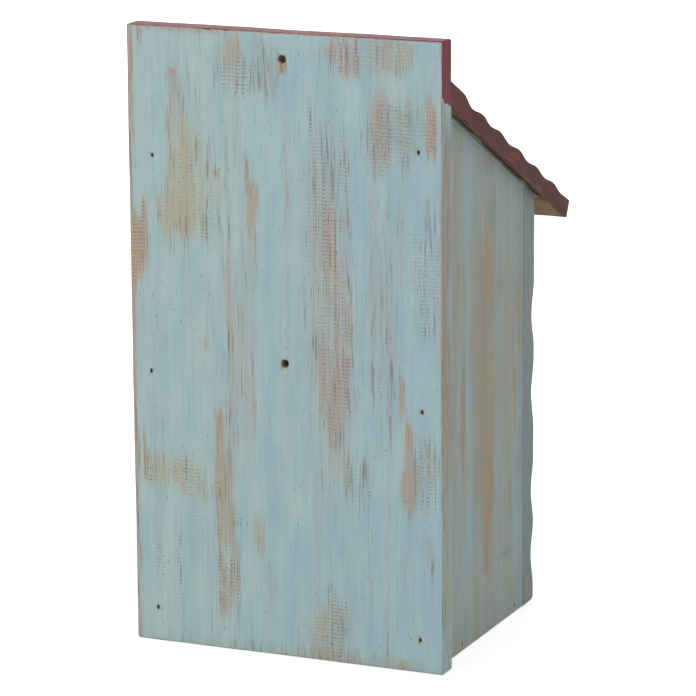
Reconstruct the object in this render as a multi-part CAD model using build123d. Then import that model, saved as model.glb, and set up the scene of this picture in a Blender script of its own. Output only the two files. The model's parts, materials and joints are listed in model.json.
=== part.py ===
from build123d import *
import os
from math import cos, radians, sin, tan

os.makedirs("parts", exist_ok=True)

# Stock, in millimetres
board = 11.6
front_stock = 15.0
floor_stock = 9.0

# Overall sizes of the box
panel_width = 160.0
panel_height = 300.0
wall_inset = 6.0
wall_length = 107.0

# Roof board: angle in degrees, height of its underside at the back panel, length down the slope
roof_pitch = 27.5
roof_seat = 267.8
roof_length = 169.5

# Carved rows of the roof: thickness of the board at each place of a row, and the run of its step
roof_head = 11.2
row_crest = 9.9
row_foot = 8.8
row_low = 8.1
row_step_run = 2.4
row_round = 1.2
row_end_shares = (0.070, 0.234, 0.376, 0.546, 0.698, 0.854)
row_low_share = 0.5

# Screw holes in the back panel and the entrance in front of the lower one
screw_hole_dia = 4.0
hanging_drop = 12.4
entrance_dia = 32.0
entrance_height = 143.4

# Hollows carved across the front board, and the sanded edges
hollow_radius = 30.0
hollow_depth = 3.0
hollow_shares = (0.118, 0.279, 0.519, 0.715)
arris = 1.5
toe_round = 3.0

# Cuts run past the faces they go through by this much
overrun = 5.0

# Directions of the roof board: down its slope and out of its top
pitch_cos = cos(radians(roof_pitch))
pitch_sin = sin(radians(roof_pitch))
slope = Vector(0, -pitch_cos, -pitch_sin)
skyward = Vector(0, -pitch_sin, pitch_cos)

# The frame has its origin under the middle of the whole depth, the front facing minus Y
rounded_off = arris * (pitch_cos + pitch_sin - 1)
overall_depth = board + roof_length * pitch_cos + row_foot * pitch_sin - rounded_off
back_y = overall_depth / 2
panel_front = back_y - board
front_joint = panel_front - wall_length
front_face = front_joint - front_stock
wall_face = panel_width / 2 - wall_inset


def under_roof(y):
    """Height of the underside of the roof at a place along the depth."""
    return roof_seat - (panel_front - y) * tan(radians(roof_pitch))


def across(outline, width):
    """A board whose outline in the side view is given, centred on the width."""
    return extrude(Plane.YZ * make_face(outline), amount=width / 2, both=True)


def through_hole(diameter, height, near_y, far_y):
    """A round cut along the depth, past both faces of the board it goes through."""
    length = near_y - far_y + overrun + overrun
    middle = (near_y + far_y) / 2
    return Pos(0, middle, height) * Rot(X=90) * Cylinder(diameter / 2, length)


def make_back_panel():
    """The tall board that hangs on the wall, with a screw hole at its top and its middle."""
    middle = back_y - board / 2
    panel = Pos(0, middle, panel_height / 2) * Box(panel_width, board, panel_height)
    toe = panel.faces().sort_by(Axis.Y)[0].edges().sort_by(Axis.Z)[0]
    panel = fillet([edge for edge in panel.edges() if edge != toe], arris)
    panel -= through_hole(screw_hole_dia, panel_height - hanging_drop, back_y, panel_front)
    return panel - through_hole(screw_hole_dia, entrance_height, back_y, panel_front)


def make_wall(side):
    """One side wall, its top cut to the slope of the roof."""
    outline = Polyline(
        (panel_front, 0),
        (front_joint, 0),
        (front_joint, under_roof(front_joint)),
        (panel_front, roof_seat),
        close=True,
    )
    return Pos(side * (wall_face - board / 2), 0, 0) * across(outline, board)


def make_front_wall():
    """The thicker front board: entrance, rounded edges and hollows carved from side to side."""
    outline = Polyline(
        (front_joint, 0),
        (front_face, 0),
        (front_face, under_roof(front_face)),
        (front_joint, under_roof(front_joint)),
        close=True,
    )
    front = across(outline, wall_face + wall_face)
    toe = front.faces().sort_by(Axis.Y)[0].edges().sort_by(Axis.Z)[0]
    front = fillet(toe, toe_round)
    upright = front.faces().sort_by(Axis.Y)[0].edges().filter_by(Axis.Z)
    front = fillet(upright, arris)
    drum_y = front_face + hollow_depth - hollow_radius
    drum_length = wall_face + wall_face + overrun + overrun
    for share in hollow_shares:
        drum = Rot(Y=90) * Cylinder(hollow_radius, drum_length)
        front -= Pos(0, drum_y, share * under_roof(front_face)) * drum
    return front - through_hole(entrance_dia, entrance_height, front_joint, front_face)


def make_floor():
    """The floor, let in between the four upright boards."""
    width = wall_face + wall_face - board - board
    middle = (panel_front + front_joint) / 2
    return Pos(0, middle, floor_stock / 2) * Box(width, wall_length, floor_stock)


def on_roof(distance, thickness):
    """A point of the roof's side view, down the slope from the panel and out from the underside."""
    place = Vector(0, panel_front, roof_seat) + slope * distance + skyward * thickness
    return (place.Y, place.Z)


def roof_outline():
    """The roof from the side: plain underside, plumb cut at the panel, carved rows on top."""
    crests = [roof_length * share for share in row_end_shares]
    ends = crests[1:] + [roof_length]
    end_thicknesses = [row_crest] * (len(crests) - 1) + [row_foot]
    head = (panel_front, roof_seat + roof_head / pitch_cos)
    top = on_roof(crests[0], roof_head)
    outline = Polyline(on_roof(roof_length, row_foot), on_roof(roof_length, 0), on_roof(0, 0), head, top)
    for crest, end, end_thickness in zip(crests, ends, end_thicknesses):
        foot = crest + row_step_run
        low = foot + (end - foot) * row_low_share
        outline += Line(top, on_roof(foot, row_foot))
        top = on_roof(end, end_thickness)
        outline += ThreePointArc(on_roof(foot, row_foot), on_roof(low, row_low), top)
    return outline


def make_roof():
    """The sloping roof board, with the steps of its rows and its lower edges rounded off."""
    roof = across(roof_outline(), panel_width)
    steps = [Vector(0, *on_roof(roof_length * share, row_crest)) for share in row_end_shares]
    steps[0] = Vector(0, *on_roof(roof_length * row_end_shares[0], roof_head))
    ridges = roof.edges().filter_by(Axis.X)
    crests = [min(ridges, key=lambda ridge: (ridge.center() - step).length) for step in steps]
    roof = fillet(crests, row_round)
    eave = roof.faces().sort_by(Axis.Y)[0].edges()
    return fillet(eave, arris)


export_step(make_back_panel(), "parts/back_panel.step")
export_step(make_wall(-1), "parts/left_wall.step")
export_step(make_wall(1), "parts/right_wall.step")
export_step(make_front_wall(), "parts/front_wall.step")
export_step(make_floor(), "parts/floor.step")
export_step(make_roof(), "parts/roof.step")
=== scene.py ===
"""The looks of a weathered nest box: worn blue-green boards, a red carved roof and its nails."""

import json
import logging
import math
import random
from dataclasses import dataclass, field
from enum import Enum
from typing import Callable, Sequence

import bmesh
import bpy
import numpy as np
from mathutils import Matrix, Vector


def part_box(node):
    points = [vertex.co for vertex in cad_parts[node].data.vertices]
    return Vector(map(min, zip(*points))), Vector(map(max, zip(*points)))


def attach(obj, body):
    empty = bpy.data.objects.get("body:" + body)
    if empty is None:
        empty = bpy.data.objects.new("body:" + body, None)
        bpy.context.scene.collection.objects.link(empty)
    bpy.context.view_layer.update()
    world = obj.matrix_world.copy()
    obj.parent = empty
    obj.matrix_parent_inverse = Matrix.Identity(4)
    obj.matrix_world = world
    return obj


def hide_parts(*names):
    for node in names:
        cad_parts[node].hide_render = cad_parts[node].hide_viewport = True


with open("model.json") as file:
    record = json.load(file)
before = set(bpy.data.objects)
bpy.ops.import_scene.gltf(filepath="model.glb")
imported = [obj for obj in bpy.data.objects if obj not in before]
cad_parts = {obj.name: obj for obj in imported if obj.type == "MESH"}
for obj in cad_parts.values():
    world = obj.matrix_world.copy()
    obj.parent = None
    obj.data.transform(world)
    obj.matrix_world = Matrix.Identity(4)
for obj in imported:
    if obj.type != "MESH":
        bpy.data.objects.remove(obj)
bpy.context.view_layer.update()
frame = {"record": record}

LOG = logging.getLogger("nest_box")
MM = 0.001
ROOF_PITCH = math.radians(27.5)
RIB_CUTS = 5
HEAD_RIBS = 4
ROUND_SEGMENTS = 3
SMOOTH_ANGLE = math.radians(38)
SHARP_ANGLE = math.radians(50)
ALONG_SHARE = 0.85
NOISE_ROUGHNESS = 0.55
RIPPLE_DRAWS = 4096

Colour = tuple[float, float, float]
Triple = tuple[float, float, float]
Point = tuple[float, float]
Pair = tuple[float, float]
Plane = tuple[Vector, Vector]
Socket = bpy.types.NodeSocket


class Side(Enum):
    """Ways a board's faces look, named as by a person who stands before the entrance."""

    BACK = (0.0, 1.0, 0.0)
    FRONT = (0.0, -1.0, 0.0)
    LEFT = (-1.0, 0.0, 0.0)
    RIGHT = (1.0, 0.0, 0.0)
    UP = (0.0, 0.0, 1.0)
    DOWN = (0.0, 0.0, -1.0)

    @property
    def way(self) -> Vector:
        """The way itself, one long."""
        return Vector(self.value)


class Tone(Enum):
    """What shows where the paint is gone, as a place in a finish's row of woods."""

    GREY = 0
    STRAW = 1
    TAN = 2
    ORANGE = 3
    PINK = 4
    SALMON = 5


class Part(Enum):
    """Kinds of mesh element that edit mode can select."""

    VERT = "VERT"
    EDGE = "EDGE"


def linear(red: int, green: int, blue: int) -> Colour:
    """A screen colour, 0 to 255 a channel, as the linear colour that shaders take."""
    return tuple(
        value / 12.92 if value <= 0.04045 else ((value + 0.055) / 1.055) ** 2.4
        for value in (red / 255, green / 255, blue / 255)
    )


def smooth_step(low: float, high: float, value: np.ndarray) -> np.ndarray:
    """A smooth rise from 0 at low to 1 at high."""
    share = np.clip((value - low) / (high - low), 0.0, 1.0)
    return share * share * (3 - 2 * share)


def ripple(place: np.ndarray, pitch: float, seed: int) -> np.ndarray:
    """Smooth unevenness along a line.

    Args:
        place: distances along the line, in metres.
        pitch: distance from one random value to the next, in metres.
        seed: start of the random draws.

    Returns:
        Values from -1 to 1, one for each place.
    """
    draws = np.random.default_rng(seed).uniform(-1.0, 1.0, RIPPLE_DRAWS)
    share = place / pitch + RIPPLE_DRAWS / 2
    step = np.floor(share).astype(int)
    blend = smooth_step(0.0, 1.0, share - step)
    return draws[step % RIPPLE_DRAWS] * (1 - blend) + draws[(step + 1) % RIPPLE_DRAWS] * blend


FRAY_SHARE = 0.34
FRAY_PITCH = 2.0 * MM
FINE_FRAY_SHARE = 0.6
FINE_FRAY_PITCH = 0.9 * MM
SWAYS = ((0.22, 11.0 * MM), (0.14, 3.5 * MM))
PATCH_POWER = 2.5
PATCH_FADE = (0.4, 1.35)


@dataclass(frozen=True)
class WornPatch:
    """One place where handling has thinned the paint, in millimetres on its face.

    A negative depth is a place where the paint has kept better than round it.
    """

    across: float
    up: float
    half_width: float
    half_height: float
    depth: float
    tone: Tone
    torn: float = 0.0

    def strength(self, across: np.ndarray, up: np.ndarray, seed: int) -> np.ndarray:
        """How much of the patch each point has.

        Args:
            across: places across the face, in metres.
            up: places up the face, in metres.
            seed: start of the draws that fray the ends of the patch.

        Returns:
            Shares from 0 to 1.
        """
        rise = (up / MM - self.up) / self.half_height
        coarse = [ripple(across, FRAY_PITCH, seed + end) for end in (0, 1)]
        fine = [ripple(across, FINE_FRAY_PITCH, seed + end) for end in (2, 3)]
        ends = [first + FINE_FRAY_SHARE * second for first, second in zip(coarse, fine)]
        fray = FRAY_SHARE * np.where(rise > 0, *ends)
        sway = sum(share * ripple(up, pitch, seed + 4 + index) for index, (share, pitch) in enumerate(SWAYS))
        wide = np.abs((across / MM - self.across) / self.half_width + sway)
        tall = np.maximum(np.abs(rise) + fray, 0.0)
        reach = (wide**PATCH_POWER + tall**PATCH_POWER) ** (1 / PATCH_POWER)
        return 1 - smooth_step(*PATCH_FADE, reach)


def clear_selection() -> None:
    """Deselects every object, so that an operator acts on the new piece alone."""
    bpy.ops.object.select_all(action="DESELECT")


def make_active(piece: bpy.types.Object) -> None:
    """Selects one object alone and makes it active."""
    clear_selection()
    piece.select_set(True)
    bpy.context.view_layer.objects.active = piece


def edit(piece: bpy.types.Object) -> None:
    """Opens one object in edit mode."""
    make_active(piece)
    bpy.ops.object.mode_set(mode="EDIT")


def leave_edit() -> None:
    """Closes edit mode."""
    bpy.ops.object.mode_set(mode="OBJECT")


def pick(piece: bpy.types.Object, part: Part, test: Callable) -> None:
    """Selects the elements of the mesh in edit mode that pass a test.

    Args:
        piece: the object that is open in edit mode.
        part: the kind of element to select.
        test: says of one element whether it is wanted.
    """
    bpy.ops.mesh.select_mode(type=part.value)
    bpy.ops.mesh.select_all(action="DESELECT")
    cage = bmesh.from_edit_mesh(piece.data)
    items = {Part.VERT: cage.verts, Part.EDGE: cage.edges}[part]
    wanted = [item for item in items if test(item)]
    for item in wanted:
        item.select_set(True)
    bmesh.update_edit_mesh(piece.data, loop_triangles=False, destructive=False)


def runs_along(edge: bmesh.types.BMEdge, axis: int, least: float = 0.0) -> bool:
    """Whether an edge runs along one axis, nearly, and is at least so long."""
    span = edge.verts[1].co - edge.verts[0].co
    return span.length > least and abs(span[axis]) > ALONG_SHARE * span.length


def apply_modifier(piece: bpy.types.Object, modifier: bpy.types.Modifier) -> None:
    """Applies a modifier to the mesh for good."""
    make_active(piece)
    bpy.ops.object.modifier_apply(modifier=modifier.name)


def settle(piece: bpy.types.Object) -> None:
    """Puts a piece's place, turn and size into its mesh."""
    make_active(piece)
    bpy.ops.object.transform_apply(location=True, rotation=True, scale=True)


def take_primitive(name: str) -> bpy.types.Object:
    """The primitive that was just added, under its own name and settled."""
    piece = bpy.context.object
    piece.name = piece.data.name = name
    settle(piece)
    return piece


def rod(vertices: int, radius: float, depth: float) -> bpy.types.Object:
    """Adds a rod along Z at the origin, alone in the selection."""
    clear_selection()
    bpy.ops.mesh.primitive_cylinder_add(vertices=vertices, radius=radius, depth=depth)
    return bpy.context.object


def give_material(piece: bpy.types.Object, material: bpy.types.Material) -> None:
    """Gives a piece one material and no other."""
    piece.data.materials.clear()
    piece.data.materials.append(material)


def box_board(
    name: str, low: Vector, high: Vector, arris: float, trim: Plane | None = None
) -> bpy.types.Object:
    """Makes a straight board from a cube, with rounded edges.

    Args:
        name: name of the new piece.
        low: its lowest corner.
        high: its highest corner.
        arris: how far the rounding of its edges reaches.
        trim: a point and the outward way of a plane that cuts the board, if any.

    Returns:
        The board.
    """
    clear_selection()
    bpy.ops.mesh.primitive_cube_add(size=1.0, location=(low + high) / 2, scale=high - low)
    piece = take_primitive(name)
    if trim is not None:
        edit(piece)
        bpy.ops.mesh.select_all(action="SELECT")
        bpy.ops.mesh.bisect(plane_co=trim[0], plane_no=trim[1], use_fill=True, clear_outer=True)
        leave_edit()
    round_edges(piece, arris, lambda edge: True)
    return piece


@dataclass(frozen=True)
class Rib:
    """One line through a carved board, from its flat side out to its carved side."""

    base: Point
    thickness: float


def carved_board(
    name: str, ribs: Sequence[Rib], turn: float, ends: Pair, trim: Plane
) -> bpy.types.Object:
    """Draws a growing and shrinking rib along the board's side view, and that sheet out sideways.

    Args:
        name: name of the new piece.
        ribs: the ribs in order, each with its base (y, z), in metres.
        turn: angle of the ribs about X, from +Y.
        ends: left and right end of the board.
        trim: a point and the outward way of a plane that cuts the sheet.

    Returns:
        The board, closed, with its faces outward.
    """
    clear_selection()
    bpy.ops.mesh.primitive_plane_add(size=1.0, location=(0.0, 0.0, 0.0), rotation=(turn, 0.0, 0.0))
    piece = take_primitive(name)
    out = Vector((0.0, math.cos(turn), math.sin(turn)))
    edit(piece)
    pick(piece, Part.VERT, lambda vert: vert.co.x > 0)
    bpy.ops.mesh.delete(type="VERT")
    bpy.ops.mesh.select_all(action="SELECT")
    bpy.ops.mesh.subdivide(number_cuts=RIB_CUTS)
    bpy.ops.mesh.select_all(action="SELECT")
    bpy.ops.transform.translate(value=Vector((0.5, 0.0, 0.0)) + out / 2)
    long = ribs[0].thickness
    bpy.ops.transform.resize(value=(long, long, long), center_override=(0.0, 0.0, 0.0))
    bpy.ops.transform.translate(value=(ends[0], *ribs[0].base))
    bpy.ops.mesh.select_mode(type="EDGE")
    bpy.ops.mesh.select_all(action="SELECT")
    for here, there in zip(ribs, ribs[1:]):
        step = (0.0, there.base[0] - here.base[0], there.base[1] - here.base[1])
        bpy.ops.mesh.extrude_region_move(TRANSFORM_OT_translate={"value": step})
        grow = there.thickness / here.thickness
        bpy.ops.transform.resize(value=(grow, grow, grow), center_override=(ends[0], *there.base))
    bpy.ops.mesh.select_mode(type="FACE")
    bpy.ops.mesh.select_all(action="SELECT")
    bpy.ops.mesh.bisect(plane_co=trim[0], plane_no=trim[1], clear_outer=True)
    bpy.ops.mesh.select_all(action="SELECT")
    bpy.ops.mesh.extrude_region_move(TRANSFORM_OT_translate={"value": (ends[1] - ends[0], 0.0, 0.0)})
    bpy.ops.mesh.select_all(action="SELECT")
    bpy.ops.mesh.normals_make_consistent(inside=False)
    leave_edit()
    return piece


def round_edges(piece: bpy.types.Object, width: float, test: Callable) -> None:
    """Rounds some edges of a board.

    Args:
        piece: the board.
        width: how far the rounding reaches, in metres.
        test: says of one edge whether it is rounded.
    """
    edit(piece)
    pick(piece, Part.EDGE, test)
    bpy.ops.mesh.bevel(offset=width, segments=ROUND_SEGMENTS, affect="EDGES")
    leave_edit()


def is_sharp(edge: bmesh.types.BMEdge) -> bool:
    """Whether an edge of a carved board runs from end to end and turns sharply."""
    return runs_along(edge, 0) and edge.calc_face_angle(0.0) > SHARP_ANGLE


def is_end_rim(edge: bmesh.types.BMEdge) -> bool:
    """Whether an edge lies between a flat end of a carved board and the rest of it."""
    flat = sorted(abs(face.normal.x) for face in edge.link_faces)
    return flat[0] < 0.5 and flat[-1] > 0.9


def divide(piece: bpy.types.Object, axis: int, cuts: int, least: float) -> None:
    """Divides the long edges along one axis, which lays rows of small faces across the board."""
    edit(piece)
    pick(piece, Part.EDGE, lambda edge: runs_along(edge, axis, least))
    bpy.ops.mesh.subdivide(number_cuts=cuts)
    leave_edit()


def roughen(piece: bpy.types.Object, strength: float, grain: float) -> None:
    """Makes a board as uneven as hand work leaves it.

    Args:
        piece: the board.
        strength: greatest depth of the unevenness, in metres.
        grain: size of the unevenness along the surface, in metres.
    """
    clouds = bpy.data.textures.new(f"{piece.name}_clouds", type="CLOUDS")
    clouds.noise_scale = grain
    clouds.noise_depth = 2
    uneven = piece.modifiers.new("uneven", "DISPLACE")
    uneven.texture = clouds
    uneven.texture_coords = "LOCAL"
    uneven.strength = strength
    uneven.mid_level = 0.5
    apply_modifier(piece, uneven)


def cut_away(piece: bpy.types.Object, cutter: bpy.types.Object) -> None:
    """Cuts one mesh out of another and removes the cutter."""
    cut = piece.modifiers.new("cut", "BOOLEAN")
    cut.operation = "DIFFERENCE"
    cut.solver = "EXACT"
    cut.object = cutter
    apply_modifier(piece, cut)
    bpy.data.objects.remove(cutter)


def join(pieces: Sequence[bpy.types.Object], name: str) -> bpy.types.Object:
    """Joins objects into one, under a new name."""
    clear_selection()
    for piece in pieces:
        piece.select_set(True)
    bpy.context.view_layer.objects.active = pieces[0]
    if len(pieces) > 1:
        bpy.ops.object.join()
    joined = bpy.context.view_layer.objects.active
    joined.name = joined.data.name = name
    return joined


def copies(model: bpy.types.Object, places: Sequence[Vector], turn: Matrix) -> list[bpy.types.Object]:
    """Copies a small piece to many places, each copy with its own mesh.

    Args:
        model: the piece at the origin, made along Z.
        places: where the copies go.
        turn: rotation that every copy gets.

    Returns:
        The copies, settled. The model is removed.
    """
    made = []
    for place in places:
        copy = model.copy()
        copy.data = model.data.copy()
        bpy.context.scene.collection.objects.link(copy)
        copy.matrix_world = Matrix.Translation(place) @ turn.to_4x4()
        settle(copy)
        made.append(copy)
    bpy.data.objects.remove(model)
    return made


def aim(way: Vector) -> Matrix:
    """The rotation that turns the Z axis to a way, as a 3 by 3 matrix."""
    return way.to_track_quat("Z", "Y").to_matrix()


class Graph:
    """The nodes of one material, or of the world, added by short calls."""

    def __init__(self, owner: bpy.types.Material | bpy.types.World) -> None:
        """Empties the nodes of a material or world."""
        self.owner = owner
        owner.use_nodes = True
        self.tree = owner.node_tree
        self.tree.nodes.clear()

    def node(self, kind: str, **settings: object) -> bpy.types.Node:
        """Adds a node and sets its properties."""
        made = self.tree.nodes.new(kind)
        for name, value in settings.items():
            setattr(made, name, value)
        return made

    def put(self, socket: Socket, value: object) -> None:
        """Links a socket to a node's input, or sets the input to a plain value."""
        if isinstance(value, bpy.types.NodeSocket):
            self.tree.links.new(value, socket)
        elif hasattr(value, "__len__") and len(value) == 3 and socket.type == "RGBA":
            socket.default_value = (*value, 1.0)
        else:
            socket.default_value = value

    def math(self, operation: str, first: object, second: object = 0.0, clamp: bool = False) -> Socket:
        """A sum, product or other arithmetic of one or two values."""
        made = self.node("ShaderNodeMath", operation=operation, use_clamp=clamp)
        self.put(made.inputs[0], first)
        self.put(made.inputs[1], second)
        return made.outputs[0]

    def times(self, first: object, second: object) -> Socket:
        """The product of two values."""
        return self.math("MULTIPLY", first, second)

    def plus(self, first: object, second: object) -> Socket:
        """The sum of two values."""
        return self.math("ADD", first, second)

    def axes(self, coords: Socket) -> Sequence[Socket]:
        """The three coordinates, each by itself."""
        made = self.node("ShaderNodeSeparateXYZ")
        self.put(made.inputs[0], coords)
        return made.outputs

    def mix(self, share: object, first: object, second: object, blend: str = "MIX") -> Socket:
        """A blend of two colours."""
        made = self.node("ShaderNodeMix", data_type="RGBA", blend_type=blend, clamp_factor=True)
        self.put(made.inputs[0], share)
        self.put(made.inputs[6], first)
        self.put(made.inputs[7], second)
        return made.outputs[2]

    def rise(self, value: object, low: float, high: float, least: float = 0.0, most: float = 1.0) -> Socket:
        """A smooth rise from least at low to most at high."""
        made = self.node("ShaderNodeMapRange", interpolation_type="SMOOTHSTEP")
        for index, number in enumerate((value, low, high, least, most)):
            self.put(made.inputs[index], number)
        return made.outputs[0]

    def scaled(self, coords: Socket, scale: tuple[float, float, float]) -> Socket:
        """Coordinates stretched by a factor along each axis."""
        made = self.node("ShaderNodeMapping")
        self.put(made.inputs["Vector"], coords)
        made.inputs["Scale"].default_value = scale
        return made.outputs[0]

    def noise(self, coords: Socket, scale: tuple[float, float, float], detail: float = 2.0) -> Socket:
        """Cloudy noise, from 0 to 1, with so many lumps a metre along each axis."""
        made = self.node("ShaderNodeTexNoise")
        self.put(made.inputs["Vector"], self.scaled(coords, scale))
        made.inputs["Scale"].default_value = 1.0
        made.inputs["Detail"].default_value = detail
        made.inputs["Roughness"].default_value = NOISE_ROUGHNESS
        return made.outputs["Fac"]

    def contrast(self, value: Socket, factor: float) -> Socket:
        """A value spread about a half by a factor, kept from 0 to 1."""
        made = self.node("ShaderNodeMath", operation="MULTIPLY_ADD", use_clamp=True)
        self.put(made.inputs[0], value)
        made.inputs[1].default_value = factor
        made.inputs[2].default_value = 0.5 - 0.5 * factor
        return made.outputs[0]

    def weighed(self, terms: Sequence[tuple[Socket, float]]) -> Socket:
        """The sum of some values, each times its weight."""
        total = self.times(*terms[0])
        for value, weight in terms[1:]:
            total = self.plus(total, self.times(value, weight))
        return total

    def shade(self, colour: Socket, value: Socket) -> Socket:
        """A colour made lighter or darker by a value."""
        grey = self.node("ShaderNodeCombineColor")
        for socket in grey.inputs[:3]:
            self.put(socket, value)
        return self.mix(1.0, colour, grey.outputs[0], "MULTIPLY")

    def rays(self, *kinds: str) -> Socket:
        """1 for rays of the named kinds and 0 for all others."""
        path = self.node("ShaderNodeLightPath")
        found = [path.outputs[f"Is {kind} Ray"] for kind in kinds]
        share = found[0]
        for other in found[1:]:
            share = self.math("MAXIMUM", share, other)
        return share

    def finish(self, shader: bpy.types.Node) -> bpy.types.Material | bpy.types.World:
        """Links a shader to the output and gives the material or world back."""
        kind = "World" if isinstance(self.owner, bpy.types.World) else "Material"
        self.put(self.node(f"ShaderNodeOutput{kind}").inputs["Surface"], shader.outputs[0])
        return self.owner


@dataclass(frozen=True)
class Grain:
    """Noises that run with a board's grain, from fine threads to broad clouds, each from 0 to 1."""

    thread: Socket
    fibre: Socket
    brush: Socket
    streak: Socket
    blot: Socket
    broad: Socket
    column: Socket
    fine: Socket
    crumb: Socket
    chip: Socket

    @classmethod
    def lay(cls, graph: Graph, coords: Socket) -> "Grain":
        """Adds the noises to a material, with so many lumps a metre along each axis."""
        return cls(
            thread=graph.contrast(graph.noise(coords, (1150.0, 1150.0, 16.0), 2.0), 2.6),
            fibre=graph.contrast(graph.noise(coords, (430.0, 430.0, 8.0), 3.0), 2.4),
            brush=graph.contrast(graph.noise(coords, (240.0, 240.0, 7.0), 3.0), 2.3),
            streak=graph.contrast(graph.noise(coords, (110.0, 110.0, 5.0), 2.0), 2.0),
            blot=graph.contrast(graph.noise(coords, (85.0, 85.0, 24.0), 3.0), 2.3),
            broad=graph.contrast(graph.noise(coords, (24.0, 24.0, 8.0), 2.0), 2.0),
            column=graph.contrast(graph.noise(coords, (560.0, 560.0, 26.0), 2.0), 2.6),
            fine=graph.contrast(graph.noise(coords, (1500.0, 1500.0, 800.0), 2.0), 2.0),
            crumb=graph.contrast(graph.noise(coords, (430.0, 430.0, 500.0), 1.0), 2.4),
            chip=graph.contrast(graph.noise(coords, (260.0, 260.0, 60.0), 4.0), 2.2),
        )


@dataclass(frozen=True)
class WearReading:
    """What a board's wear map says at each place, as sockets of its material."""

    worn: Socket
    torn: Socket
    over: Socket
    arris: Socket
    wood: Socket

    @classmethod
    def read(cls, graph: Graph) -> "WearReading":
        """Reads the attributes that the wear map wrote."""
        wear = graph.node("ShaderNodeAttribute", attribute_name="wear")
        parts = graph.node("ShaderNodeSeparateColor")
        graph.put(parts.inputs[0], wear.outputs["Color"])
        wood = graph.node("ShaderNodeAttribute", attribute_name="wood").outputs["Color"]
        return cls(*parts.outputs[:3], wear.outputs["Alpha"], wood)


@dataclass(frozen=True)
class WornPaint:
    """Brushed paint, rubbed thin over sawn pine, with its wear read from each board's own map."""

    name: str
    coat: Colour
    coat_shift: Colour
    brush_tint: Colour
    over_coat: Colour
    woods: tuple[Colour, ...]
    base_wear: float
    grain_scale: float = 1.0
    streak_share: float = 0.24
    brush_share: float = 0.20
    edge_wear: Pair = (0.0, 0.95)
    fibre_share: float = 0.29
    thread_share: float = 0.38
    line_share: float = 0.38
    hair_share: float = 0.6
    tear_share: float = 0.85
    # Share of the dark pit colour over bare wood in each torn pit.
    tear_wood_and_shade_share: float = 0.72
    # Share of the painted highlight on the lip below each torn pit.
    lip_highlight_share: float = 0.62
    lean: float = 0.0
    hair_colour: Colour = linear(104, 98, 94)
    # Torn wood in each pit, a dark grey that also stands for painted shade inside the pit.
    tear_wood_and_shade_colour: Colour = linear(98, 98, 95)
    # Painted highlight: the pale lip below each torn pit, where light from above would catch it.
    lip_highlight_colour: Colour = linear(196, 203, 198)
    saw_pitch: float = 1.8 * MM
    stitch_pitch: float = 1.5 * MM
    # How far below each torn pit its painted highlight sits.
    lip_highlight_drop: float = 0.75 * MM
    roughness: Pair = (0.62, 0.85)
    gloss: float = 0.12
    bump_strength: float = 0.4
    bump_depth: float = 0.25 * MM

    def material(self) -> bpy.types.Material:
        """The material, made once for all boards that share it."""
        return bpy.data.materials.get(self.name) or self.make()

    def make(self) -> bpy.types.Material:
        """Builds the material, which reads the attributes wear and wood."""
        graph = Graph(bpy.data.materials.new(self.name))
        turn = graph.node("ShaderNodeMapping")
        graph.put(turn.inputs["Vector"], graph.node("ShaderNodeTexCoord").outputs["Object"])
        turn.inputs["Rotation"].default_value = (self.lean, 0.0, 0.0)
        turn.inputs["Scale"].default_value = (self.grain_scale, self.grain_scale, 1.0)
        coords = turn.outputs[0]
        return PaintLayers(self, graph, coords, Grain.lay(graph, coords), WearReading.read(graph)).lay()


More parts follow.
